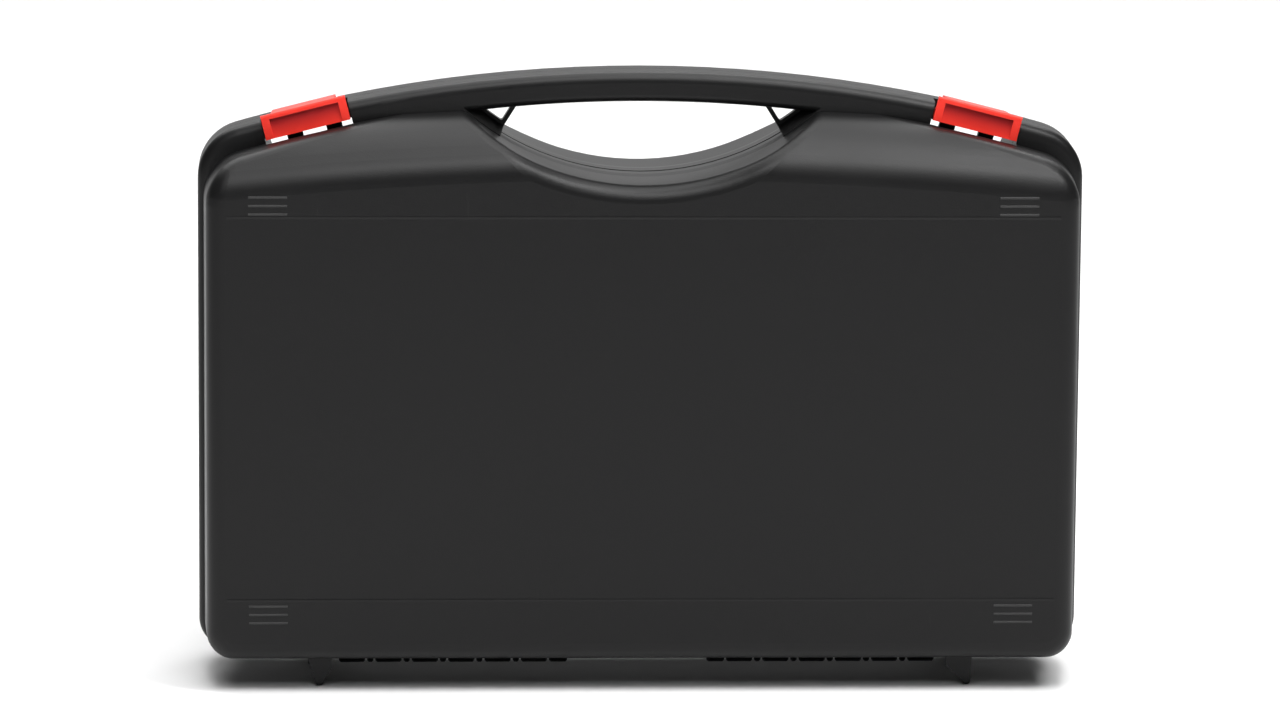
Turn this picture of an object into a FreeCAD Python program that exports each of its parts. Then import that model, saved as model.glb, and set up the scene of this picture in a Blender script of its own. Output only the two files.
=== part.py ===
import FreeCAD, Part
import math
import os

# Hard tool case: two moulded shells hinged along the bottom, a grip handle in two
# halves, two latches on pins and a foam sheet in each shell.
# Millimetres. The ground is Z = 0, the shells part at Y = 0, the lid faces -Y
# and the case is centred on X = 0.

Vector = FreeCAD.Vector

# Outline of the rim, seen from the front
RIM_WIDTH = 420.0
RIM_BOTTOM = 13.6
HANDLE_TOP = 292.2
TOP_ARC_RADIUS = 695.0
RIM_TOP_CORNER = 24.5
RIM_BOTTOM_CORNER = 15.0
BAND_DEPTH = 15.0
BAND_EDGE_RADIUS = 5.0

# Body of a shell, set in from the rim
WALL = 2.5
SHELL_DEPTH = 49.7
SIDE_STEP = 2.0
SIDE_DRAFT = 3.0
BOTTOM_STEP = 1.5
BAND_HEIGHT = 10.6
BODY_TOP_CORNER = 23.0
BODY_BOTTOM_CORNER = 13.0
BODY_EDGE_RADIUS = 9.0
SHELL_GAP = 0.3

# Sloping shoulder between the band and the face; both its edges follow a flat arch
SHOULDER_TOP_DROP = 16.1
SHOULDER_FACE_DROP = 38.6
SHOULDER_ARCH_RADIUS = 1900.0
SHOULDER_ANGLE = 45.0
SHOULDER_TOP_RADIUS = 45.0
SHOULDER_FOOT_RADIUS = 18.0

# Handle and finger opening
HANDLE_THICKNESS = 14.1
HANDLE_EDGE_RADIUS = 3.5
FINGER_CLEARANCE = 35.1
RECESS_RADIUS = 126.8
RECESS_STEP = 0.5
RECESS_EDGE_RADIUS = 8.0
RECESS_LIP_RUN = 6.0

# Triangular webs in the corners of the finger opening
WEB_DEPTH = 2.5
WEB_REACH = 58.5
WEB_LEAN = 32.0
WEB_STRUT = 2.1
WEB_FLOOR = 5.0
WEB_SILL = 1.6
WEB_HOLE_CORNER = 0.8

# Ribs inside the hollow band
RIB_THICKNESS = 1.8
RIB_SPACING = 24.0

# Tongue on the base rim and groove in the lid rim
TONGUE_THICKNESS = 1.2
TONGUE_HEIGHT = 2.0
TONGUE_OUTSET = 0.2
FIT_GAP = 0.3
GROOVE_WALL = 1.2

# Two raised lines across each face, and raised marks in its corners
LINE_BOTTOM = 44.9
LINE_TOP = 228.3
LINE_WIDTH = 1.8
LINE_RISE = 0.15
LINE_END_GAP = 12.0
MARK_LENGTH = 18.3
MARK_WIDTH = 1.3
MARK_RISE = 0.3
MARK_PITCH = 4.0
MARK_COUNT = 3
MARK_EDGE = 22.3
MARK_UPPER_GAP = 1.3
MARK_LOWER_GAP = 3.0

# Hinge along the bottom
HINGE_HEIGHT = 8.7
KNUCKLE_RADIUS = 4.6
KNUCKLE_BEVEL = 0.8
HINGE_PIN_RADIUS = 1.5
PIN_CLEARANCE = 0.06
BASE_KNUCKLE = 3.0
END_KNUCKLE = 8.6
KNUCKLE_GAP = 0.95
KNUCKLE_ROOT = 0.5
LID_KNUCKLE_COUNT = 6
HINGE_INNER_END = 33.6
HINGE_FOOT_GAP = 3.25
HINGE_PIN_CAP = 1.6

# Feet: a pair on each shell, offset sideways so that the plates pass each other
FOOT_INSET = 55.5
FOOT_PLATE = 3.4
FOOT_GAP = 0.6
FOOT_START = 6.0
FOOT_END = 34.0
FOOT_INNER_RADIUS = 6.0
FOOT_TIP_RADIUS = 1.5
FOOT_SOLE_RADIUS = 1.3
GUSSET_THICKNESS = 3.0
GUSSET_INNER = 8.0
GUSSET_OUTER = 4.4
GUSSET_HEIGHT = 9.5

# Latches: the plate in front, the tab that lies over the base, the dish for a thumb
LATCH_INSET = 50.2
LATCH_LEAN = 1.0
LATCH_WIDTH = 41.0
LATCH_TAB_WIDTH = 31.0
LATCH_SIDE_GAP = 0.6
LATCH_RISE = 2.9
LATCH_DROP = 8.9
LATCH_PROUD = 2.4
LATCH_THICKNESS = 2.4
LATCH_TAB_END = 14.3
LATCH_TAB_FALL = 2.6
LATCH_TAB_GAP = 0.8
LATCH_TAB_CORNER = 2.0
LATCH_LIP = 0.5
LATCH_LIP_WIDTH = 1.8
LATCH_FRAME_SIDE = 3.8
LATCH_FRAME_TOP = 2.4
LATCH_DISH_TOP = 1.5
LATCH_DISH_BOTTOM = 0.3
LATCH_ROUND = 1.2

# Latch hinge: a pin through two ears that stand on the lid
LATCH_PIN_DEPTH = 12.6
LATCH_PIN_DROP = 5.5
LATCH_PIN_RADIUS = 1.1
LATCH_PIN_SHORT = 0.8
EAR_RADIUS = 2.1
EAR_WIDTH = 7.5
EAR_OUTER = 7.0
EAR_INNER = 12.0
EAR_GAP = 0.4
EAR_LEG_FRONT = 7.6
EAR_LEG_BACK = 3.6
EAR_LEG_RADIUS = 2.0
EAR_ARM_SLOPE = 35.0

# Slot under each latch, open from front to back
SLOT_FRONT = 19.5
SLOT_STEP = 0.1
SLOT_SLOPE = 9.0

# Foam sheets
LID_FOAM_DEPTH = 20.0
BASE_FOAM_DEPTH = 12.0
FOAM_GAP = 0.3

# How far a cutting tool runs past what it cuts, and the shortest line worth drawing
OVERRUN = 10.0
SHORTEST_LINE = 0.001
SHARP_ANGLE = 1.0

RIM_HALF = RIM_WIDTH / 2
BODY_HALF = RIM_HALF - SIDE_STEP
BODY_BOTTOM = RIM_BOTTOM + BOTTOM_STEP
ARC_CENTRE = HANDLE_TOP - TOP_ARC_RADIUS
BODY_ARC_RADIUS = TOP_ARC_RADIUS - BAND_HEIGHT
SHOULDER_TOP = HANDLE_TOP - SHOULDER_TOP_DROP
SHOULDER_FACE = HANDLE_TOP - SHOULDER_FACE_DROP
UNDERSIDE_RADIUS = TOP_ARC_RADIUS - HANDLE_THICKNESS
RECESS_FLOOR = HANDLE_TOP - HANDLE_THICKNESS - FINGER_CLEARANCE
RECESS_CENTRE = RECESS_FLOOR + RECESS_RADIUS
SHOULDER_CENTRE = SHOULDER_FACE - SHOULDER_ARCH_RADIUS
PARTING = SHELL_GAP / 2
FOOT_PLACE = RIM_HALF - FOOT_INSET
HINGE_OUTER_END = FOOT_PLACE - GUSSET_INNER - HINGE_FOOT_GAP
HINGE_BASE_LENGTH = END_KNUCKLE + (LID_KNUCKLE_COUNT - 1) * (BASE_KNUCKLE + KNUCKLE_GAP)
HINGE_LID_LENGTH = HINGE_OUTER_END - HINGE_INNER_END - HINGE_BASE_LENGTH
LID_KNUCKLE = HINGE_LID_LENGTH / LID_KNUCKLE_COUNT - KNUCKLE_GAP
LATCH_PLACE = RIM_HALF - LATCH_INSET
LATCH_TILT = math.degrees(math.asin(LATCH_PLACE / TOP_ARC_RADIUS)) + LATCH_LEAN
LATCH_FACE = -(BAND_DEPTH + LATCH_PROUD)
LATCH_BACK = LATCH_FACE + LATCH_THICKNESS


def box(low, high):
    """Box between two corners."""
    size = Vector(*high) - Vector(*low)
    return Part.makeBox(size.x, size.y, size.z, Vector(*low))


def depth_cylinder(radius, centre_z, front, back):
    """Solid cylinder along Y about the line X = 0, Z = centre_z."""
    return Part.makeCylinder(radius, back - front, Vector(0, front, centre_z), Vector(0, 1, 0))


def rounded_wire(corners, to_space):
    """Closed outline through corners (a, b, radius), each one rounded by its own radius."""
    stops = []
    for index, (a, b, radius) in enumerate(corners):
        corner = Vector(a, b, 0)
        before = Vector(*corners[index - 1][:2], 0) - corner
        after = Vector(*corners[(index + 1) % len(corners)][:2], 0) - corner
        before.normalize()
        after.normalize()
        if radius == 0:
            stops.append((corner, None, corner))
            continue
        half = before.getAngle(after) / 2
        reach = radius / math.tan(half)
        inwards = before + after
        inwards.normalize()
        middle = corner + inwards * (radius / math.sin(half) - radius)
        stops.append((corner + before * reach, middle, corner + after * reach))
    edges = []
    for index, (start, middle, end) in enumerate(stops):
        following = stops[(index + 1) % len(stops)][0]
        if middle is not None:
            arc = [to_space(point.x, point.y) for point in (start, middle, end)]
            edges.append(Part.Arc(*arc).toShape())
        if end.distanceToPoint(following) > SHORTEST_LINE:
            line = [to_space(point.x, point.y) for point in (end, following)]
            edges.append(Part.LineSegment(*line).toShape())
    return Part.Wire(edges)


def width_prism(corners, low, high):
    """Outline of (y, z, radius) corners carried along X from low to high."""
    wire = rounded_wire(corners, lambda y, z: Vector(low, y, z))
    return Part.Face(wire).extrude(Vector(high - low, 0, 0))


def depth_prism(corners, front, back):
    """Outline of (x, z, radius) corners carried along Y from front to back."""
    wire = rounded_wire(corners, lambda x, z: Vector(x, front, z))
    return Part.Face(wire).extrude(Vector(0, back - front, 0))


def edges_through(shape, depth):
    """Edges that run from the front of a plate to its back."""
    return [edge for edge in shape.Edges if edge.BoundBox.YLength > depth - SHORTEST_LINE]


def mirrored_x(shape):
    """The same piece on the other side of the case."""
    return shape.mirror(Vector(0, 0, 0), Vector(1, 0, 0))


def mirrored_y(shape):
    """The same form on the other shell."""
    return shape.mirror(Vector(0, 0, 0), Vector(0, 1, 0))


def outline_plate(half, bottom, arc_radius, corners, ends, draft=0.0):
    """Plate with a domed top and round corners; its sides draw in towards the front."""
    front, back = ends
    slope = math.tan(math.radians(draft))
    plan = [
        Vector(-half - front * slope, front, bottom),
        Vector(half + front * slope, front, bottom),
        Vector(half + back * slope, back, bottom),
        Vector(-half - back * slope, back, bottom),
    ]
    wire = Part.makePolygon(plan + plan[:1])
    block = Part.Face(wire).extrude(Vector(0, 0, HANDLE_TOP - bottom))
    plate = block.common(depth_cylinder(arc_radius, ARC_CENTRE, front - OVERRUN, back + OVERRUN))
    middle = (bottom + HANDLE_TOP) / 2
    top_corner, bottom_corner = corners
    upper = [edge for edge in edges_through(plate, back - front) if edge.CenterOfMass.z > middle]
    plate = plate.makeFillet(top_corner, upper)
    low = bottom + SHORTEST_LINE
    lower = [edge for edge in edges_through(plate, back - front) if edge.CenterOfMass.z < low]
    return plate.makeFillet(bottom_corner, lower)


def rim_plate(inset, front, back):
    """Outline of the rim, drawn in by an inset."""
    corners = (RIM_TOP_CORNER - inset, RIM_BOTTOM_CORNER - inset)
    sizes = (RIM_HALF - inset, RIM_BOTTOM + inset, TOP_ARC_RADIUS - inset)
    return outline_plate(*sizes, corners, (front, back))


def body_outline(inset, front, back, draft=0.0):
    """Outline of the body without its finger recess, drawn in by an inset."""
    corners = (BODY_TOP_CORNER - inset, BODY_BOTTOM_CORNER - inset)
    sizes = (BODY_HALF - inset, BODY_BOTTOM + inset, BODY_ARC_RADIUS - inset)
    return outline_plate(*sizes, corners, (front, back), draft)


def body_plate(inset, front, back, draft=0.0):
    """Outline of the body with its finger recess, drawn in by an inset."""
    plate = body_outline(inset, front, back, draft)
    radius = RECESS_RADIUS + RECESS_STEP + inset
    return plate.cut(depth_cylinder(radius, RECESS_CENTRE, front - OVERRUN, back + OVERRUN))


def shoulder_sweep(inset):
    """Side view of a shell, with face, sloping shoulder and top, swung along a flat arch."""
    angle = math.radians(SHOULDER_ANGLE)
    face = SHELL_DEPTH - inset
    turn = SHOULDER_FACE - inset * math.tan((math.pi / 2 - angle) / 2)
    top = SHOULDER_TOP - inset
    top_start = (top - SHOULDER_FACE + inset / math.cos(angle)) / math.tan(angle) - SHELL_DEPTH
    corners = [
        (OVERRUN, 0, 0),
        (-face, 0, 0),
        (-face, turn, SHOULDER_FOOT_RADIUS - inset),
        (top_start, top, SHOULDER_TOP_RADIUS - inset),
        (OVERRUN, top, 0),
    ]
    section = Part.Face(rounded_wire(corners, lambda y, z: Vector(0, y, z)))
    axis_point = Vector(0, 0, SHOULDER_CENTRE)
    reach = math.degrees(math.asin(RIM_WIDTH / SHOULDER_ARCH_RADIUS))
    section.rotate(axis_point, Vector(0, 1, 0), -reach)
    return section.revolve(axis_point, Vector(0, 1, 0), 2 * reach)


def sharp_edges(shape):
    """Edges where two faces meet at an angle, apart from those of the back plane."""
    found = []
    for edge in shape.Edges:
        point = edge.valueAt((edge.FirstParameter + edge.LastParameter) / 2)
        if abs(point.y - OVERRUN) < SHORTEST_LINE:
            continue
        normals = []
        for face in shape.ancestorsOfType(edge, Part.Face):
            normals.append(face.normalAt(*face.Surface.parameter(point)))
        if len(normals) == 2 and normals[0].getAngle(normals[1]) > math.radians(SHARP_ANGLE):
            found.append((edge, point))
    return found


def body_form(inset):
    """Bulging body of the front shell, drawn in by an inset, with its edges rounded."""
    plate = body_plate(inset, -SHELL_DEPTH - OVERRUN, OVERRUN, SIDE_DRAFT)
    form = plate.common(shoulder_sweep(inset))
    limit = RECESS_RADIUS + RECESS_STEP + inset + SHORTEST_LINE
    outer = []
    for edge, point in sharp_edges(form):
        if math.hypot(point.x, point.z - RECESS_CENTRE) > limit:
            outer.append(edge)
    form = form.makeFillet(BODY_EDGE_RADIUS - inset, outer)
    recess = []
    for edge, point in sharp_edges(form):
        if math.hypot(point.x, point.z - RECESS_CENTRE) < limit:
            recess.append(edge)
    return form.makeFillet(RECESS_EDGE_RADIUS - inset, recess)


def body_section(inset, front, back):
    """Body outline under the shoulder's top, drawn in by an inset, for rims and grooves."""
    radius = SHOULDER_TOP - SHOULDER_CENTRE - inset
    under = depth_cylinder(radius, SHOULDER_CENTRE, front - OVERRUN, back + OVERRUN)
    return body_plate(inset, front, back).common(under)


def strut_side(offset, front):
    """Everything outside the slanted strut of the right-hand web, moved out by an offset."""
    lean = math.radians(WEB_LEAN)
    top = HANDLE_TOP - HANDLE_THICKNESS / 2
    foot = RECESS_FLOOR
    underside = ARC_CENTRE + math.sqrt(UNDERSIDE_RADIUS ** 2 - WEB_REACH ** 2)
    start = WEB_REACH + offset / math.cos(lean)
    corners = [
        (start - (top - underside) * math.tan(lean), top, 0),
        (start + (underside - foot) * math.tan(lean), foot, 0),
        (RECESS_RADIUS, foot, 0),
        (RECESS_RADIUS, top, 0),
    ]
    return depth_prism(corners, front, OVERRUN + OVERRUN)


def corner_web():
    """Thin web in one corner of the finger opening, with a hole above and a ramp in front."""
    back = OVERRUN + OVERRUN
    floor = RECESS_RADIUS - WEB_FLOOR
    hole = strut_side(WEB_STRUT, -WEB_DEPTH)
    hole = hole.common(depth_cylinder(floor, RECESS_CENTRE, -BAND_DEPTH, back))
    hole = hole.common(depth_cylinder(UNDERSIDE_RADIUS, ARC_CENTRE, -BAND_DEPTH, back))
    hole = hole.makeFillet(WEB_HOLE_CORNER, edges_through(hole, back + WEB_DEPTH))
    place = Vector(0, -BAND_DEPTH, RECESS_CENTRE)
    run = BAND_DEPTH - WEB_DEPTH
    air = Part.makeCone(RECESS_RADIUS, floor + WEB_SILL, run, place, Vector(0, 1, 0))
    ramp = strut_side(0, -BAND_DEPTH).cut(air)
    behind = box((0, -WEB_DEPTH, 0), (RIM_HALF, back, HANDLE_TOP))
    return strut_side(0, -WEB_DEPTH).cut(hole).fuse(ramp.cut(behind))


def recess_plug():
    """Round plug that leaves the floor under the handle, flared at the floor's front edge."""
    front = -BAND_DEPTH - OVERRUN - OVERRUN
    plug = depth_cylinder(RECESS_RADIUS, RECESS_CENTRE, front, OVERRUN + OVERRUN)
    place = Vector(0, -BAND_DEPTH, RECESS_CENTRE)
    wide = RECESS_RADIUS + RECESS_STEP
    return plug.fuse(Part.makeCone(wide, RECESS_RADIUS, RECESS_LIP_RUN, place, Vector(0, 1, 0)))


def finger_opening():
    """Tool for the opening under the handle, flared at the handle's lower front edge."""
    low = UNDERSIDE_RADIUS - FINGER_CLEARANCE - OVERRUN
    high = UNDERSIDE_RADIUS + HANDLE_THICKNESS / 2
    corners = [
        (OVERRUN, low, 0),
        (OVERRUN, UNDERSIDE_RADIUS, 0),
        (-BAND_DEPTH, UNDERSIDE_RADIUS, HANDLE_EDGE_RADIUS),
        (-BAND_DEPTH, high, 0),
        (-BAND_DEPTH - OVERRUN, high, 0),
        (-BAND_DEPTH - OVERRUN, low, 0),
    ]
    section = Part.Face(rounded_wire(corners, lambda y, r: Vector(0, y, ARC_CENTRE + r)))
    reach = math.degrees(math.asin(RECESS_RADIUS / low))
    axis_point = Vector(0, 0, ARC_CENTRE)
    section.rotate(axis_point, Vector(0, 1, 0), -reach)
    tool = section.revolve(axis_point, Vector(0, 1, 0), 2 * reach)
    tool = tool.common(recess_plug())
    web = corner_web()
    return tool.cut(web).cut(mirrored_x(web))


def band():
    """Rim flange all round, as deep as the handle half, with its front edge rounded."""
    plate = rim_plate(0, -BAND_DEPTH, OVERRUN)
    front_edges = []
    for edge in plate.Edges:
        if abs(edge.BoundBox.YMax + BAND_DEPTH) < SHORTEST_LINE:
            front_edges.append(edge)
    return plate.makeFillet(BAND_EDGE_RADIUS, front_edges).cut(finger_opening())


def latch_origin():
    """Point on the band's outer arc above the middle of the left latch."""
    height = ARC_CENTRE + math.sqrt(TOP_ARC_RADIUS ** 2 - LATCH_PLACE ** 2)
    return Vector(-LATCH_PLACE, 0, height)


def at_latch(shape):
    """Moves a shape from the latch's own frame to the left end of the band."""
    placed = shape.copy()
    placed.rotate(Vector(0, 0, 0), Vector(0, 1, 0), -LATCH_TILT)
    placed.translate(latch_origin())
    return placed


def slot_floor(depth, lowered=0.0):
    """Height of the slot's sloping floor at a depth, in the latch's own frame."""
    fall = (depth + SLOT_FRONT) * math.tan(math.radians(SLOT_SLOPE))
    return -BAND_HEIGHT - SLOT_STEP - fall - lowered


def slot_tool(front, back, spread):
    """Everything above the slot's floor between two depths, spread outwards all round."""
    half = LATCH_WIDTH / 2 + LATCH_SIDE_GAP + spread
    corners = [
        (front, slot_floor(front, spread), 0),
        (back, slot_floor(back, spread), 0),
        (back, OVERRUN, 0),
        (front, OVERRUN, 0),
    ]
    return width_prism(corners, -half, half)


def lid_notch(spread=0.0):
    """Notch and slot in the lid's band for the left latch."""
    return at_latch(slot_tool(-SLOT_FRONT - spread, OVERRUN, spread))


def base_slot():
    """Slot through the base's shoulder, running as a tunnel under its band."""
    half = LATCH_WIDTH / 2 + LATCH_SIDE_GAP
    far = SHELL_DEPTH + OVERRUN
    corners = [
        (-OVERRUN, slot_floor(-OVERRUN), 0),
        (far, slot_floor(far), 0),
        (far, 0, 0),
        (BAND_DEPTH, 0, 0),
        (BAND_DEPTH, -BAND_HEIGHT, 0),
        (-OVERRUN, -BAND_HEIGHT, 0),
    ]
    return at_latch(width_prism(corners, -half, half))


def base_slot_clearance(spread):
    """What the base's cavity and foam leave free around the slot."""
    return at_latch(slot_tool(-OVERRUN, SHELL_DEPTH + OVERRUN, spread))


def tab_underside():
    """Height of the latch tab's underside at its end, in the latch's own frame."""
    return LATCH_RISE - LATCH_TAB_FALL - LATCH_THICKNESS


def tab_notch():
    """Notch in the base's band that the latch's tab lies in."""
    half = LATCH_TAB_WIDTH / 2 + LATCH_TAB_GAP
    floor = tab_underside() - LATCH_LIP - FIT_GAP
    return at_latch(box((-half, -OVERRUN, floor), (half, BAND_DEPTH + OVERRUN, OVERRUN)))


def band_pocket():
    """Hollow inside the band and the handle half, crossed by ribs, clear of the latches."""
    front = -BAND_DEPTH + WALL
    outset = TONGUE_OUTSET + FIT_GAP + GROOVE_WALL
    pocket = rim_plate(WALL, front, OVERRUN)
    pocket = pocket.cut(body_outline(-outset, front - OVERRUN, 2 * OVERRUN))
    half = LATCH_WIDTH / 2 + LATCH_SIDE_GAP + WALL
    block = at_latch(box((-half, front - OVERRUN, -2 * OVERRUN), (half, 2 * OVERRUN, OVERRUN)))
    pocket = pocket.cut(block).cut(mirrored_x(block))
    step = math.degrees(RIB_SPACING / TOP_ARC_RADIUS)
    count = int(LATCH_PLACE / RIB_SPACING)
    low = Vector(-RIB_THICKNESS / 2, front - OVERRUN, BODY_ARC_RADIUS + ARC_CENTRE - OVERRUN)
    high = Vector(RIB_THICKNESS / 2, 2 * OVERRUN, HANDLE_TOP + OVERRUN)
    for index in range(-count, count + 1):
        rib = box(low, high)
        rib.rotate(Vector(0, 0, ARC_CENTRE), Vector(0, 1, 0), index * step)
        pocket = pocket.cut(rib)
    return pocket


def rim_ring(gap, front, back):
    """Ring that follows the body outline: the tongue, or its groove with a gap round it."""
    outer = body_section(-TONGUE_OUTSET - gap, front, back)
    inset = TONGUE_THICKNESS - TONGUE_OUTSET + gap
    return outer.cut(body_section(inset, front - OVERRUN, back + OVERRUN))


def foot(side, outer):
    """Foot of the front shell: an upright plate along Y with a gusset at its outer end."""
    if outer:
        low = FOOT_PLACE + FOOT_GAP / 2
    else:
        low = FOOT_PLACE - FOOT_GAP / 2 - FOOT_PLATE
    high = low + FOOT_PLATE
    top = BODY_BOTTOM + WALL / 2
    plate_corners = [
        (-FOOT_END, 0, FOOT_TIP_RADIUS),
        (-FOOT_START, 0, FOOT_INNER_RADIUS),
        (-FOOT_START, top, 0),
        (-FOOT_END, top, 0),
    ]
    plate = width_prism(plate_corners, low, high)
    sole = []
    for edge in plate.Edges:
        if edge.BoundBox.ZMax < SHORTEST_LINE and edge.BoundBox.YLength > FOOT_PLATE:
            sole.append(edge)
    plate = plate.makeFillet(FOOT_SOLE_RADIUS, sole)
    gusset_corners = [
        (low, FOOT_TIP_RADIUS, 0),
        (high, FOOT_TIP_RADIUS, 0),
        (FOOT_PLACE + GUSSET_OUTER, top, 0),
        (FOOT_PLACE - GUSSET_INNER, top, 0),
        (FOOT_PLACE - GUSSET_INNER, GUSSET_HEIGHT, 0),
    ]
    gusset = depth_prism(gusset_corners, -FOOT_END, -FOOT_END + GUSSET_THICKNESS)
    whole = plate.fuse(gusset)
    if side < 0:
        whole = mirrored_x(whole)
    return whole


def shell_blank():
    """Front shell before its notches and hinge, and the hollow that its walls leave."""
    outside = fuse_all(body_form(0).fuse(band()), face_lines())
    hollow = body_form(WALL)
    notch = lid_notch(WALL)
    hollow = hollow.cut(notch).cut(mirrored_x(notch))
    return outside, hollow


def base_hollow():
    """Cavity of the base, clear of the slots under its latches."""
    notch = base_slot_clearance(WALL)
    return mirrored_y(body_form(WALL)).cut(notch).cut(mirrored_x(notch))


def knuckle_spans():
    """Knuckles of the right-hand hinge as (start, end, on the lid), from the middle out."""
    spans = [(HINGE_INNER_END, HINGE_INNER_END + END_KNUCKLE, False)]
    for index in range(LID_KNUCKLE_COUNT):
        start = spans[-1][1] + KNUCKLE_GAP
        spans.append((start, start + LID_KNUCKLE, True))
        if index < LID_KNUCKLE_COUNT - 1:
            start = spans[-1][1] + KNUCKLE_GAP
            spans.append((start, start + BASE_KNUCKLE, False))
    return spans


def knuckle(start, end):
    """Hinge barrel with bevelled ends and the leg that ties it to the front shell's rim."""
    place = Vector(start, 0, HINGE_HEIGHT)
    barrel = Part.makeCylinder(KNUCKLE_RADIUS, end - start, place, Vector(1, 0, 0))
    barrel = barrel.makeChamfer(KNUCKLE_BEVEL, [barrel.Edges[0], barrel.Edges[2]])
    low = (start + KNUCKLE_BEVEL, -KNUCKLE_RADIUS, HINGE_HEIGHT)
    high = (end - KNUCKLE_BEVEL, -PARTING, RIM_BOTTOM + KNUCKLE_ROOT)
    return barrel.fuse(box(low, high))


def hinge_knuckles(on_lid):
    """All knuckles of one shell, left and right, as on the front shell."""
    parts = []
    for start, end, lid in knuckle_spans():
        if lid == on_lid:
            part = knuckle(start, end)
            parts += [part, mirrored_x(part)]
    return parts


def hinge_rod(radius):
    """Right-hand hinge pin or its bore, stopping short of the closed end knuckle."""
    start = HINGE_INNER_END + HINGE_PIN_CAP
    length = knuckle_spans()[-1][1] - start
    return Part.makeCylinder(radius, length, Vector(start, 0, HINGE_HEIGHT), Vector(1, 0, 0))


def raised_line(ends, height, width, rise):
    """Low round-backed line across the front shell's face, centred on a height."""
    low, high = ends
    face = -SHELL_DEPTH
    radius = (width * width / 4 + rise * rise) / (2 * rise)
    place = Vector(low, face - rise + radius, height)
    back = Part.makeCylinder(radius, high - low, place, Vector(1, 0, 0))
    corners = ((low, face - rise, height - width / 2), (high, face + WALL / 2, height + width / 2))
    return back.common(box(*corners))


def face_lines():
    """Both long lines of the front shell's face and the short marks in its four corners."""
    reach = BODY_HALF - LINE_END_GAP
    lines = []
    for height in (LINE_BOTTOM, LINE_TOP):
        lines.append(raised_line((-reach, reach), height, LINE_WIDTH, LINE_RISE))
    outer = BODY_HALF - MARK_EDGE
    for index in range(MARK_COUNT):
        rise = index * MARK_PITCH
        for height in (LINE_TOP + MARK_UPPER_GAP + rise, LINE_BOTTOM - MARK_LOWER_GAP - rise):
            mark = raised_line((outer - MARK_LENGTH, outer), height, MARK_WIDTH, MARK_RISE)
            lines += [mark, mirrored_x(mark)]
    return lines


def ear(middle):
    """Ear for the latch pin: an eye, an arm that slopes back and a leg on the slot's floor."""
    axis = (-LATCH_PIN_DEPTH, -LATCH_PIN_DROP)
    top = axis[1] + EAR_RADIUS
    root = slot_floor(-EAR_LEG_FRONT) - WALL / 2
    run = LATCH_PIN_DEPTH - EAR_LEG_FRONT
    corners = [
        (axis[0], axis[1], 0),
        (axis[0], top, 0),
        (-EAR_LEG_BACK, top, EAR_LEG_RADIUS),
        (-EAR_LEG_BACK, root, 0),
        (-EAR_LEG_FRONT, root, 0),
        (-EAR_LEG_FRONT, axis[1] - run * math.tan(math.radians(EAR_ARM_SLOPE)), 0),
    ]
    low = middle - EAR_WIDTH / 2
    high = middle + EAR_WIDTH / 2
    eye = Part.makeCylinder(EAR_RADIUS, EAR_WIDTH, Vector(low, *axis), Vector(1, 0, 0))
    return width_prism(corners, low, high).fuse(eye)


def latch_rod(radius):
    """Latch pin or its bore, in the latch's own frame."""
    half = LATCH_WIDTH / 2 - LATCH_PIN_SHORT
    start = Vector(-half, -LATCH_PIN_DEPTH, -LATCH_PIN_DROP)
    return Part.makeCylinder(radius, 2 * half, start, Vector(1, 0, 0))


def latch_ears():
    """Both ears of the left latch with the pin's bore through them."""
    ears = ear(-EAR_OUTER).fuse(ear(EAR_INNER))
    return at_latch(ears.cut(latch_rod(LATCH_PIN_RADIUS + PIN_CLEARANCE)))


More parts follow.
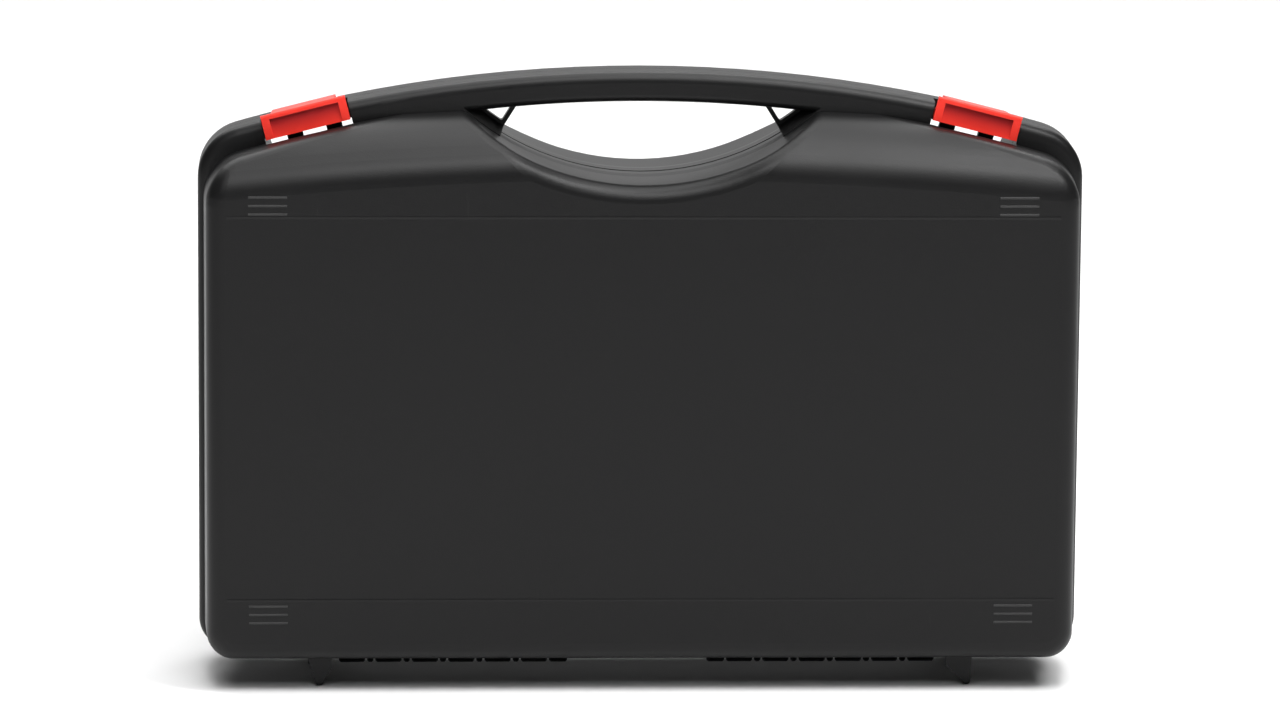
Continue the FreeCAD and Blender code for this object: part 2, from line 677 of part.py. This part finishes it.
def latch():
    """Left latch: dished plate, barrel between the ears and the tab over the base."""
    fall = LATCH_TAB_FALL / (LATCH_TAB_END - LATCH_FACE)
    back_top = LATCH_RISE - fall * LATCH_THICKNESS
    plate_corners = [
        (LATCH_FACE, -LATCH_DROP, 0),
        (LATCH_BACK, -LATCH_DROP, 0),
        (LATCH_BACK, back_top, 0),
        (LATCH_FACE, LATCH_RISE, LATCH_ROUND),
    ]
    half = LATCH_WIDTH / 2
    whole = width_prism(plate_corners, -half, half)
    under = tab_underside()
    end_top = LATCH_RISE - LATCH_TAB_FALL
    tab_corners = [
        (LATCH_FACE + LATCH_ROUND, back_top - LATCH_THICKNESS, 0),
        (LATCH_TAB_END - LATCH_LIP_WIDTH, under, 0),
        (LATCH_TAB_END - LATCH_LIP_WIDTH, under - LATCH_LIP, 0),
        (LATCH_TAB_END, under - LATCH_LIP, 0),
        (LATCH_TAB_END, end_top, LATCH_ROUND),
        (LATCH_FACE + LATCH_ROUND, LATCH_RISE - fall * LATCH_ROUND, 0),
    ]
    tab_half = LATCH_TAB_WIDTH / 2
    tab = width_prism(tab_corners, -tab_half, tab_half)
    plan_corners = [
        (-tab_half, LATCH_FACE - OVERRUN, 0),
        (tab_half, LATCH_FACE - OVERRUN, 0),
        (tab_half, LATCH_TAB_END, LATCH_TAB_CORNER),
        (-tab_half, LATCH_TAB_END, LATCH_TAB_CORNER),
    ]
    plan = Part.Face(rounded_wire(plan_corners, lambda u, y: Vector(u, y, -OVERRUN)))
    whole = whole.fuse(tab.common(plan.extrude(Vector(0, 0, 2 * OVERRUN))))
    for start, end in barrel_spans():
        whole = whole.fuse(width_prism(barrel_corners(), start, end))
    dish_corners = [
        (LATCH_FACE - OVERRUN, LATCH_RISE - LATCH_FRAME_TOP, 0),
        (LATCH_FACE + LATCH_DISH_TOP, LATCH_RISE - LATCH_FRAME_TOP, 0),
        (LATCH_FACE + LATCH_DISH_BOTTOM, -LATCH_DROP, 0),
        (LATCH_FACE + LATCH_DISH_BOTTOM, -LATCH_DROP - OVERRUN, 0),
        (LATCH_FACE - OVERRUN, -LATCH_DROP - OVERRUN, 0),
    ]
    dish_half = half - LATCH_FRAME_SIDE
    whole = whole.cut(width_prism(dish_corners, -dish_half, dish_half))
    return at_latch(whole.cut(latch_rod(LATCH_PIN_RADIUS + PIN_CLEARANCE)))


def barrel_corners():
    """Section of the latch's barrel: round about the pin, flat against the plate."""
    back = -LATCH_PIN_DEPTH + EAR_RADIUS
    low = -LATCH_PIN_DROP - EAR_RADIUS
    high = -LATCH_PIN_DROP + EAR_RADIUS
    return [
        (LATCH_BACK, low, 0),
        (back, low, EAR_RADIUS),
        (back, high, EAR_RADIUS),
        (LATCH_BACK, high, 0),
    ]


def barrel_spans():
    """Lengths of barrel left of, between and right of the ears."""
    half = LATCH_WIDTH / 2
    reach = EAR_WIDTH / 2 + EAR_GAP
    return [
        (-half, -EAR_OUTER - reach),
        (-EAR_OUTER + reach, EAR_INNER - reach),
        (EAR_INNER + reach, half),
    ]


def fuse_all(shape, others):
    """One solid from a shape and what grows out of it."""
    for other in others:
        shape = shape.fuse(other)
    return shape


def cut_all(shape, tools):
    """Shape with every tool taken out of it."""
    for tool in tools:
        shape = shape.cut(tool)
    return shape


def lid_shell(outside, hollow):
    """Front shell with its feet, ears, lid knuckles and groove."""
    notch = lid_notch()
    shell = cut_all(outside, [notch, mirrored_x(notch)])
    shell = fuse_all(shell, [foot(-1, False), foot(1, True)])
    tools = [hollow, band_pocket()]
    tools.append(box((-RIM_WIDTH, -PARTING, 0), (RIM_WIDTH, 2 * OVERRUN, HANDLE_TOP + OVERRUN)))
    tools.append(rim_ring(FIT_GAP, -TONGUE_HEIGHT - FIT_GAP, OVERRUN))
    shell = cut_all(shell, tools)
    ears = latch_ears()
    shell = fuse_all(shell, [ears, mirrored_x(ears)] + hinge_knuckles(True))
    bore = hinge_rod(HINGE_PIN_RADIUS + PIN_CLEARANCE)
    return cut_all(shell, [bore, mirrored_x(bore)])


def base_shell(outside):
    """Rear shell with its slots, tab notches, tongue and base knuckles."""
    cuts = [base_slot(), tab_notch()]
    shell = mirrored_y(outside)
    shell = cut_all(shell, cuts + [mirrored_x(tool) for tool in cuts])
    shell = fuse_all(shell, [mirrored_y(foot(-1, True)), mirrored_y(foot(1, False))])
    front = box((-RIM_WIDTH, -2 * OVERRUN, 0), (RIM_WIDTH, PARTING, HANDLE_TOP + OVERRUN))
    shell = cut_all(shell, [base_hollow(), mirrored_y(band_pocket()), front])
    tongue = rim_ring(0, -TONGUE_HEIGHT, PARTING + WALL)
    clear = base_slot_clearance(0)
    tongue = cut_all(tongue, [clear, mirrored_x(clear)])
    shell = fuse_all(shell, [tongue] + [mirrored_y(part) for part in hinge_knuckles(False)])
    bore = hinge_rod(HINGE_PIN_RADIUS + PIN_CLEARANCE)
    return cut_all(shell, [bore, mirrored_x(bore)])


def foam_sheet(depth):
    """Foam that lies on the inside of the front shell's face, as deep as given."""
    inset = WALL + FOAM_GAP
    back = -SHELL_DEPTH + inset + depth
    slab = box((-RIM_WIDTH, -SHELL_DEPTH, 0), (RIM_WIDTH, back, HANDLE_TOP))
    return body_form(inset).common(slab)


def base_foam():
    """Foam on the inside of the rear shell, clear of the latch slots."""
    clear = base_slot_clearance(WALL + FOAM_GAP)
    return cut_all(mirrored_y(foam_sheet(BASE_FOAM_DEPTH)), [clear, mirrored_x(clear)])


def write_parts():
    """Builds every piece and writes one STEP file for each."""
    outside, hollow = shell_blank()
    latch_left = latch()
    latch_pin = at_latch(latch_rod(LATCH_PIN_RADIUS))
    hinge_pin = hinge_rod(HINGE_PIN_RADIUS)
    pieces = {
        "front_shell": lid_shell(outside, hollow),
        "rear_shell": base_shell(outside),
        "latch_left": latch_left,
        "latch_right": mirrored_x(latch_left),
        "latch_pin_left": latch_pin,
        "latch_pin_right": mirrored_x(latch_pin),
        "hinge_pin_left": mirrored_x(hinge_pin),
        "hinge_pin_right": hinge_pin,
        "lid_foam": foam_sheet(LID_FOAM_DEPTH),
        "base_foam": base_foam(),
    }
    os.makedirs("parts", exist_ok=True)
    for name, shape in pieces.items():
        solids = len(shape.Solids)
        print(name, "valid", shape.isValid(), "solids", solids, "volume", round(shape.Volume, 1))
        shape.exportStep("parts/" + name + ".step")


write_parts()
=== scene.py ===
import bpy
import math
import numpy as np
from mathutils import Matrix, Vector


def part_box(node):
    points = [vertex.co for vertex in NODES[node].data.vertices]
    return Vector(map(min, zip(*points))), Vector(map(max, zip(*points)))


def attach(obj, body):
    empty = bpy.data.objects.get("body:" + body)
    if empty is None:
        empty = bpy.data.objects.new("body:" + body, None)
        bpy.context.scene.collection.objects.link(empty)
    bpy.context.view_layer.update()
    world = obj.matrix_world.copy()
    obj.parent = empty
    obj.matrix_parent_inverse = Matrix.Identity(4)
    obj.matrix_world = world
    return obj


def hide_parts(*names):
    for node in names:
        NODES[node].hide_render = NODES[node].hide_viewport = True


# Looks of the hard tool case. Metres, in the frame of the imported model: the ground is
# Z = 0, the lid faces -Y and the case is centred on X = 0.

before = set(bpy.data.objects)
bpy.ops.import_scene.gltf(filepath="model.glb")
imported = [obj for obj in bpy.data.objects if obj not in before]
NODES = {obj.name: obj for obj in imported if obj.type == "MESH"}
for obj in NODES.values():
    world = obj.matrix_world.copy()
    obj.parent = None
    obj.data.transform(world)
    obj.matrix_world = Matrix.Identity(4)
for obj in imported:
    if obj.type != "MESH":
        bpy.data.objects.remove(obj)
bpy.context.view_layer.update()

# Camera, as fitted to the photograph, with its angles in degrees
PHOTO_WIDTH = 1280
PHOTO_FOCAL_PIXELS = 6934.0
SENSOR_WIDTH = 36.0
CAMERA_PLACE = Vector((-0.14334, -3.25925, 0.73763))
CAMERA_YAW = 2.528
CAMERA_DOWN = 10.180
CAMERA_ROLL = 0.444
CAMERA_REACH = 100.0
SCENE_UP = Vector((0.0, 0.0, 1.0))

# Studio: the floor lies a hair under the feet, and the sky glows low down behind the case.
# Glow ranges are in the upward and rearward parts of a direction, and each light has its
# name, its place, its size and its power in watts.
FLOOR_HALF = 9.0
FLOOR_DROP = 0.0002
WHITE = (1.0, 1.0, 1.0, 1.0)
SKY_FILL = 0.03
SKY_GLOW = 0.95
GLOW_RISE = (0.15, 0.45)
GLOW_TURN = (0.55, 0.95)
LIGHT_TARGET = (0.0, 0.0, 0.15)
BACKDROP_PLACE = (0.0, 3.4, 2.8)
BACKDROP_TARGET = (0.0, 3.4, 0.0)
BACKDROP_SIZE = (5.0, 1.2)
BACKDROP_WATTS = 68.0
LIGHTS = (
    ("back_light", (-0.2, 1.7, 2.6), (3.2, 1.4), 46.0),
    ("top_light", (0.0, 0.1, 2.6), (1.6, 1.2), 28.0),
    ("front_light", (0.0, -1.4, 2.4), (1.4, 0.8), 31.0),
    ("front_right_light", (1.3, -0.9, 2.4), (0.9, 0.9), 34.0),
    ("front_high_light", (-0.3, -2.6, 2.4), (1.6, 1.0), 19.0),
    ("small_light", (0.5, -0.45, 2.0), (0.3, 0.3), 9.0),
)

# Surfaces of the foam. Slow waves are in radians for each metre.
FOAM_WELD = 0.00001
FOAM_VOXEL = 0.0025
WAVE_PITCH = 0.030
WAVE_SHARE = 0.55
SHOULDER_ROOM = 0.014
SLOW_ACROSS = 37.0
SLOW_UPWARDS = 51.0
SLOW_SHARE = 0.03

# In the materials, waves and cells are counts for each metre, spans are the shares of a
# random field between which something comes in, and depths are in metres.
PLASTIC_IOR = 1.49

# Shell plastic. The raised marks are painted lighter between two depths behind their tips,
# a painted highlight.
SHELL_DARK = (0.0054, 0.0054, 0.0056)
SHELL_LIGHT = (0.0076, 0.0075, 0.0077)
SHELL_ROUGHNESS = (0.37, 0.44)
SHELL_SPECULAR = 0.24
FLOW_WAVES = 9.0
FLOW_STRETCH = (1.0, 1.0, 0.35)
FLOW_SPAN = (0.3, 0.7)
GRAIN_CELLS = 1500.0
GRAIN_SOFTNESS = 0.6
GRAIN_DEPTH = 0.00003
FINE_WAVES = 3200.0
FINE_DEPTH = 0.000012
SWELL_WAVES = 22.0
SWELL_DEPTH = 0.00012
SCUFF_WAVES = (240.0, 240.0, 26.0)
SCUFF_TURN = (0.0, 0.7, 0.0)
SCUFF_SPAN = (0.70, 0.80)
SCUFF_SHARE = 0.35
SCUFF_COLOUR = (0.05, 0.05, 0.05)
SCUFF_ROUGHNESS = 0.06
PATCH_WAVES = 14.0
PATCH_SPAN = (0.52, 0.66)
TIP_HIGHLIGHT_START = 0.00018
TIP_HIGHLIGHT_END = 0.00004
TIP_HIGHLIGHT_COLOUR = (0.033, 0.033, 0.033)

# Latch plastic. The dish's floor is painted a deeper red between two depths behind the
# latch's face, and only where its normal's Y lies in the facing range: painted shade of the
# recess, and partly the thinner plastic over the black behind it. Light goes deep by a
# share.
LATCH_DARK = (0.88, 0.036, 0.022)
LATCH_LIGHT = (0.95, 0.044, 0.028)
LATCH_ROUGHNESS = (0.36, 0.46)
LATCH_SPECULAR = 0.22
LATCH_TONE_WAVES = 60.0
LATCH_MARK_WAVES = (240.0, 1600.0, 1600.0)
LATCH_MARK_SPAN = (0.4, 0.7)
LATCH_GRAIN_WAVES = 900.0
LATCH_GRAIN_DEPTH = 0.000015
DISH_START = 0.0003
DISH_END = 0.0012
DISH_FACING = (-0.6, -0.9)
DISH_SHADE_COLOUR = (0.36, 0.012, 0.014)
DEEP_SHARE = 0.15
DEEP_RADII = (1.0, 0.25, 0.15)
DEEP_REACH = 0.0012

# Pin steel
STEEL_DARK = (0.42, 0.43, 0.44)
STEEL_LIGHT = (0.58, 0.58, 0.59)
STEEL_ROUGHNESS = (0.22, 0.36)
STEEL_WAVES = (40.0, 4000.0, 4000.0)
STEEL_SPAN = (0.3, 0.7)
STEEL_DEPTH = 0.00002

# Foam cells. The pores are painted darker than the struts, a painted shade.
FOAM_DARK = (0.010, 0.010, 0.011)
FOAM_LIGHT = (0.055, 0.055, 0.058)
FOAM_ROUGHNESS = 0.95
FOAM_SPECULAR = 0.15
FOAM_SHEEN = 0.25
FOAM_SHEEN_ROUGHNESS = 0.6
PORE_CELLS = 900.0
PORE_SPAN = (0.02, 0.22)
PORE_DEPTH = 0.0004
FOAM_TONE_WAVES = 35.0
FOAM_LUMP_WAVES = 110.0
FOAM_LUMP_DEPTH = 0.0004

# Floor paint
FLOOR_DARK = (0.90, 0.90, 0.90)
FLOOR_LIGHT = (0.93, 0.93, 0.93)
FLOOR_WAVES = 3.0
FLOOR_ROUGHNESS = 0.9
FLOOR_SPECULAR = 0.1

# Places of the colour sockets among a Mix node's inputs and outputs
MIX_COLOURS = slice(6, 8)
MIX_RESULT = 2


def add(tree, kind, inputs=None, **properties):
    """Adds a shader node; an input is a plain value or another node's output."""
    made = tree.nodes.new(kind)
    for name, value in properties.items():
        setattr(made, name, value)
    for name, value in (inputs or {}).items():
        if isinstance(value, bpy.types.NodeSocket):
            tree.links.new(value, made.inputs[name])
        else:
            made.inputs[name].default_value = value
    return made


def new_material(name):
    """Empty material, its tree, its shader and the place of each point on the object."""
    material = bpy.data.materials.new(name)
    material.use_nodes = True
    tree = material.node_tree
    shader = tree.nodes["Principled BSDF"]
    place = add(tree, "ShaderNodeTexCoord").outputs["Object"]
    return material, tree, shader, place


def noise(tree, place, scale, detail=2.0, roughness=0.5):
    """Soft random field between 0 and 1, with a number of waves in each metre."""
    inputs = {"Vector": place, "Scale": scale, "Detail": detail, "Roughness": roughness}
    return add(tree, "ShaderNodeTexNoise", inputs).outputs["Fac"]


def stretched(tree, place, shares, turn=(0.0, 0.0, 0.0)):
    """Coordinates turned and stretched, for marks that run one way."""
    inputs = {"Vector": place, "Scale": shares, "Rotation": turn}
    return add(tree, "ShaderNodeMapping", inputs).outputs["Vector"]


def span(tree, value, source, target):
    """A value carried from one range to another and held inside it."""
    inputs = {
        "Value": value,
        "From Min": source[0],
        "From Max": source[1],
        "To Min": target[0],
        "To Max": target[1],
    }
    return add(tree, "ShaderNodeMapRange", inputs).outputs["Result"]


def combine(tree, first, second, operation="ADD"):
    """Two values joined by one operation, a sum unless told otherwise."""
    made = add(tree, "ShaderNodeMath", operation=operation)
    for socket, value in zip(made.inputs, (first, second)):
        if isinstance(value, bpy.types.NodeSocket):
            tree.links.new(value, socket)
        else:
            socket.default_value = value
    return made.outputs["Value"]


def blend_colours(tree, share, first, second):
    """Colour between two, by a share."""
    made = add(tree, "ShaderNodeMix", data_type="RGBA")
    tree.links.new(share, made.inputs["Factor"])
    for socket, colour in zip(made.inputs[MIX_COLOURS], (first, second)):
        if isinstance(colour, bpy.types.NodeSocket):
            tree.links.new(colour, socket)
        else:
            socket.default_value = (*colour, 1.0)
    return made.outputs[MIX_RESULT]


def bump(tree, height, depth, normal=None):
    """Relief of a depth in metres from a height between 0 and 1."""
    inputs = {"Height": height, "Distance": depth, "Strength": 1.0}
    if normal is not None:
        inputs["Normal"] = normal
    return add(tree, "ShaderNodeBump", inputs).outputs["Normal"]


def shell_plastic():
    """Black moulded plastic with a fine sparked grain, faint flow marks and light scuffs.

    The raised lines and marks of the faces are painted a little lighter than the rest, a
    painted highlight.
    """
    material, tree, shader, place = new_material("shell_plastic")
    flow = noise(tree, stretched(tree, place, FLOW_STRETCH), FLOW_WAVES, detail=3.0)
    grain = add(
        tree,
        "ShaderNodeTexVoronoi",
        {"Vector": place, "Scale": GRAIN_CELLS, "Smoothness": GRAIN_SOFTNESS},
        feature="SMOOTH_F1",
    ).outputs["Distance"]
    fine = noise(tree, place, FINE_WAVES)
    scuff_place = stretched(tree, place, SCUFF_WAVES, SCUFF_TURN)
    scuffs = noise(tree, scuff_place, 1.0, detail=3.0, roughness=0.6)
    scuffs = span(tree, scuffs, SCUFF_SPAN, (0.0, 1.0))
    patches = span(tree, noise(tree, place, PATCH_WAVES), PATCH_SPAN, (0.0, 1.0))
    scuffs = combine(tree, scuffs, patches, "MULTIPLY")
    colour = blend_colours(tree, flow, SHELL_DARK, SHELL_LIGHT)
    scuffed = span(tree, scuffs, (0.0, 1.0), (0.0, SCUFF_SHARE))
    colour = blend_colours(tree, scuffed, colour, SCUFF_COLOUR)
    # Painted highlight: the proud tips of the raised lines and marks are painted lighter.
    tip = -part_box("front_shell")[0].y
    sides = add(tree, "ShaderNodeSeparateXYZ", {"Vector": place}).outputs
    tip_highlight = combine(tree, sides["Y"], 0.0, "ABSOLUTE")
    tip_highlight = span(tree, tip_highlight, (tip - TIP_HIGHLIGHT_START, tip - TIP_HIGHLIGHT_END), (0.0, 1.0))
    colour = blend_colours(tree, tip_highlight, colour, TIP_HIGHLIGHT_COLOUR)
    tree.links.new(colour, shader.inputs["Base Color"])
    rough = span(tree, flow, FLOW_SPAN, SHELL_ROUGHNESS)
    rough = combine(tree, rough, span(tree, scuffs, (0.0, 1.0), (0.0, SCUFF_ROUGHNESS)))
    tree.links.new(rough, shader.inputs["Roughness"])
    shader.inputs["IOR"].default_value = PLASTIC_IOR
    shader.inputs["Specular IOR Level"].default_value = SHELL_SPECULAR
    relief = bump(tree, grain, GRAIN_DEPTH)
    relief = bump(tree, fine, FINE_DEPTH, relief)
    relief = bump(tree, noise(tree, place, SWELL_WAVES, detail=1.0), SWELL_DEPTH, relief)
    tree.links.new(relief, shader.inputs["Normal"])
    return material


def latch_plastic():
    """Bright red moulded plastic, smoother than the shells, with fine handling marks.

    The floor of the dish is painted a deeper red: painted shade in the recess, and partly
    the thinner plastic with the black rim behind it.
    """
    material, tree, shader, place = new_material("latch_plastic")
    tone = noise(tree, place, LATCH_TONE_WAVES)
    red = blend_colours(tree, tone, LATCH_DARK, LATCH_LIGHT)
    depth = add(tree, "ShaderNodeSeparateXYZ", {"Vector": place}).outputs["Y"]
    facing = add(tree, "ShaderNodeTexCoord").outputs["Normal"]
    facing = add(tree, "ShaderNodeSeparateXYZ", {"Vector": facing}).outputs["Y"]
    face_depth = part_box("latch_left")[0].y
    # Painted shade: the dish's floor is painted darker where the dish is deepest.
    thin_dish_shade = span(tree, depth, (face_depth + DISH_START, face_depth + DISH_END), (0.0, 1.0))
    thin_dish_shade = combine(tree, thin_dish_shade, span(tree, facing, DISH_FACING, (0.0, 1.0)), "MULTIPLY")
    red = blend_colours(tree, thin_dish_shade, red, DISH_SHADE_COLOUR)
    tree.links.new(red, shader.inputs["Base Color"])
    mark_place = stretched(tree, place, LATCH_MARK_WAVES)
    marks = noise(tree, mark_place, 1.0, detail=3.0, roughness=0.6)
    rough = span(tree, marks, LATCH_MARK_SPAN, LATCH_ROUGHNESS)
    tree.links.new(rough, shader.inputs["Roughness"])
    shader.inputs["IOR"].default_value = PLASTIC_IOR
    shader.inputs["Specular IOR Level"].default_value = LATCH_SPECULAR
    shader.inputs["Subsurface Weight"].default_value = DEEP_SHARE
    shader.inputs["Subsurface Radius"].default_value = DEEP_RADII
    shader.inputs["Subsurface Scale"].default_value = DEEP_REACH
    grain = noise(tree, place, LATCH_GRAIN_WAVES, detail=3.0)
    tree.links.new(bump(tree, grain, LATCH_GRAIN_DEPTH), shader.inputs["Normal"])
    return material


def pin_steel():
    """Drawn steel wire with fine lines along its length."""
    material, tree, shader, place = new_material("pin_steel")
    lines = noise(tree, stretched(tree, place, STEEL_WAVES), 1.0, detail=3.0)
    steel = blend_colours(tree, lines, STEEL_DARK, STEEL_LIGHT)
    tree.links.new(steel, shader.inputs["Base Color"])
    shader.inputs["Metallic"].default_value = 1.0
    rough = span(tree, lines, STEEL_SPAN, STEEL_ROUGHNESS)
    tree.links.new(rough, shader.inputs["Roughness"])
    tree.links.new(bump(tree, lines, STEEL_DEPTH), shader.inputs["Normal"])
    return material


def foam_cells():
    """Open-cell foam: small round pores painted darker than the pale struts as painted
    shade, matt and slightly uneven.
    """
    material, tree, shader, place = new_material("lid_foam_cells")
    cells = add(
        tree,
        "ShaderNodeTexVoronoi",
        {"Vector": place, "Scale": PORE_CELLS},
        feature="DISTANCE_TO_EDGE",
    ).outputs["Distance"]
    # Painted shade: the pores' centres are painted darker than the struts.
    pores = span(tree, cells, PORE_SPAN, (1.0, 0.0))
    tone = combine(tree, pores, noise(tree, place, FOAM_TONE_WAVES, detail=3.0), "MULTIPLY")
    colour = blend_colours(tree, tone, FOAM_DARK, FOAM_LIGHT)
    tree.links.new(colour, shader.inputs["Base Color"])
    shader.inputs["Roughness"].default_value = FOAM_ROUGHNESS
    shader.inputs["Specular IOR Level"].default_value = FOAM_SPECULAR
    shader.inputs["Sheen Weight"].default_value = FOAM_SHEEN
    shader.inputs["Sheen Roughness"].default_value = FOAM_SHEEN_ROUGHNESS
    relief = bump(tree, pores, PORE_DEPTH)
    lumps = noise(tree, place, FOAM_LUMP_WAVES, detail=3.0)
    relief = bump(tree, lumps, FOAM_LUMP_DEPTH, relief)
    tree.links.new(relief, shader.inputs["Normal"])
    return material


def floor_paint():
    """Pale matt floor with a barely uneven coat."""
    material, tree, shader, place = new_material("floor_paint")
    coat = blend_colours(tree, noise(tree, place, FLOOR_WAVES), FLOOR_DARK, FLOOR_LIGHT)
    tree.links.new(coat, shader.inputs["Base Color"])
    shader.inputs["Roughness"].default_value = FLOOR_ROUGHNESS
    shader.inputs["Specular IOR Level"].default_value = FLOOR_SPECULAR
    return material


def merged_copy(node, name):
    """New object with a node's mesh, welded and meshed afresh in small even squares."""
    mesh = NODES[node].data.copy()
    mesh.name = name
    piece = bpy.data.objects.new(name, mesh)
    bpy.context.scene.collection.objects.link(piece)
    weld = piece.modifiers.new("weld", "WELD")
    weld.merge_threshold = FOAM_WELD
    remesh = piece.modifiers.new("remesh", "REMESH")
    remesh.mode = "VOXEL"
    remesh.voxel_size = FOAM_VOXEL
    graph = bpy.context.evaluated_depsgraph_get()
    finished = bpy.data.meshes.new_from_object(piece.evaluated_get(graph))
    piece.modifiers.clear()
    piece.data = finished
    bpy.data.meshes.remove(mesh)
    finished.name = name
    return piece


def points_of(piece):
    """Places of a mesh's vertices as an array of rows."""
    places = np.empty(len(piece.data.vertices) * 3)
    piece.data.vertices.foreach_get("co", places)
    return places.reshape(-1, 3)


def set_points(piece, places):
    """Writes an array of rows back as the places of a mesh's vertices."""
    piece.data.vertices.foreach_set("co", places.ravel())
    piece.data.update()


def smooth(piece):
    """Shades a mesh smoothly all over."""
    shares = np.ones(len(piece.data.polygons), dtype=bool)
    piece.data.polygons.foreach_set("use_smooth", shares)


def lid_foam():
    """Convoluted foam of the lid.

    The depth above the back is the node's own, times 1 less a wave. The wave is half of
    1 less the product of two cosines, one across the case and one up it, times a share.
    Near the top the back rises at 45 degrees with the shoulder, so the depth runs out.
    """
    low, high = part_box("lid_foam")
    piece = merged_copy("lid_foam", "lid_foam_sheet")
    places = points_of(piece)
    middle_x = (low.x + high.x) / 2
    middle_z = (low.z + high.z) / 2
    across = np.cos(2 * np.pi * (places[:, 0] - middle_x) / WAVE_PITCH)
    upwards = np.cos(2 * np.pi * (places[:, 2] - middle_z) / WAVE_PITCH)
    wave = WAVE_SHARE * (1 - across * upwards) / 2
    room = np.clip(high.z - SHOULDER_ROOM - places[:, 2], 0.0, high.y - low.y)
    back = high.y - room
    above = np.clip(places[:, 1] - back, 0.0, None)
    places[:, 1] -= above * wave
    set_points(piece, places)
    smooth(piece)
    return piece


def base_foam():
    """Flat foam of the base, its open face very slightly uneven.

    The depth above the back is the node's own, times 1 less a small slow wave.
    """
    low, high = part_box("base_foam")
    piece = merged_copy("base_foam", "base_foam_sheet")
    places = points_of(piece)
    wave = np.sin(places[:, 0] * SLOW_ACROSS) * np.cos(places[:, 2] * SLOW_UPWARDS)
    share = SLOW_SHARE * (1 + wave) / 2
    places[:, 1] = high.y + (places[:, 1] - high.y) * (1 - share)
    set_points(piece, places)
    smooth(piece)
    return piece


def finish_piece(piece, material, body, node):
    """Gives a foam piece its material and its body, and hides the node that it stands for.
    """
    piece.data.materials.clear()
    piece.data.materials.append(material)
    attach(piece, body)
    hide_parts(node)


def paint_nodes(material, *names):
    """Gives CAD nodes a material."""
    for name in names:
        for held in NODES[name].material_slots:
            held.material = material


def point_camera():
    """Camera at the photograph's place and angle."""
    yaw = math.radians(CAMERA_YAW)
    down = math.radians(CAMERA_DOWN)
    roll = math.radians(CAMERA_ROLL)
    level = math.cos(down)
    ahead = Vector((math.sin(yaw) * level, math.cos(yaw) * level, -math.sin(down)))
    right = ahead.cross(SCENE_UP).normalized()
    up = right.cross(ahead)
    turned_right = right * math.cos(roll) + up * math.sin(roll)
    turned_up = up * math.cos(roll) - right * math.sin(roll)
    data = bpy.data.cameras.new("photo_camera")
    data.sensor_width = SENSOR_WIDTH
    data.sensor_fit = "HORIZONTAL"
    data.lens = PHOTO_FOCAL_PIXELS / PHOTO_WIDTH * SENSOR_WIDTH
    data.clip_end = CAMERA_REACH
    camera = bpy.data.objects.new("photo_camera", data)
    rows = Matrix((turned_right, turned_up, -ahead)).transposed()
    camera.matrix_world = Matrix.Translation(CAMERA_PLACE) @ rows.to_4x4()
    bpy.context.scene.collection.objects.link(camera)
    bpy.context.scene.camera = camera


def soft_light(name, place, target, size, watts):
    """Oblong area light that looks at a point."""
    data = bpy.data.lights.new(name, "AREA")
    data.shape = "RECTANGLE"
    data.size, data.size_y = size
    data.energy = watts
    light = bpy.data.objects.new(name, data)
    light.location = place
    light.rotation_mode = "QUATERNION"
    light.rotation_quaternion = (Vector(target) - Vector(place)).to_track_quat("-Z", "Y")
    bpy.context.scene.collection.objects.link(light)


def studio():
    """Pale floor, white surroundings and soft lights."""
    signs = ((-1, -1), (1, -1), (1, 1), (-1, 1))
    corners = [(x * FLOOR_HALF, y * FLOOR_HALF, -FLOOR_DROP) for x, y in signs]
    mesh = bpy.data.meshes.new("floor")
    mesh.from_pydata(corners, [], [range(len(corners))])
    floor = bpy.data.objects.new("floor", mesh)
    mesh.materials.append(floor_paint())
    bpy.context.scene.collection.objects.link(floor)
    world = bpy.data.worlds.new("studio")
    world.use_nodes = True
    sky = world.node_tree.nodes["Background"]
    sky.inputs["Color"].default_value = WHITE
    tree = world.node_tree
    ahead = add(tree, "ShaderNodeTexCoord").outputs["Generated"]
    axes = add(tree, "ShaderNodeSeparateXYZ", {"Vector": ahead}).outputs
    low = span(tree, axes["Z"], GLOW_RISE, (SKY_GLOW, 0.0))
    rear = span(tree, axes["Y"], GLOW_TURN, (0.0, 1.0))
    glow = combine(tree, low, rear, "MULTIPLY")
    tree.links.new(combine(tree, glow, SKY_FILL), sky.inputs["Strength"])
    bpy.context.scene.world = world
    soft_light(
        "backdrop_light", BACKDROP_PLACE, BACKDROP_TARGET, BACKDROP_SIZE, BACKDROP_WATTS
    )
    for name, place, size, watts in LIGHTS:
        soft_light(name, place, LIGHT_TARGET, size, watts)
    bpy.context.scene.view_settings.view_transform = "Standard"
    bpy.context.scene.view_settings.look = "None"


def dress_case():
    """Materials of the CAD nodes and the two foam pieces."""
    shell = shell_plastic()
    latch = latch_plastic()
    steel = pin_steel()
    paint_nodes(shell, "front_shell", "rear_shell")
    paint_nodes(latch, "latch_left", "latch_right")
    paint_nodes(steel, "latch_pin_left", "latch_pin_right")
    paint_nodes(steel, "hinge_pin_left", "hinge_pin_right")
    foam = foam_cells()
    finish_piece(lid_foam(), foam, "lid", "lid_foam")
    finish_piece(base_foam(), foam, "base", "base_foam")


dress_case()
point_camera()
studio()
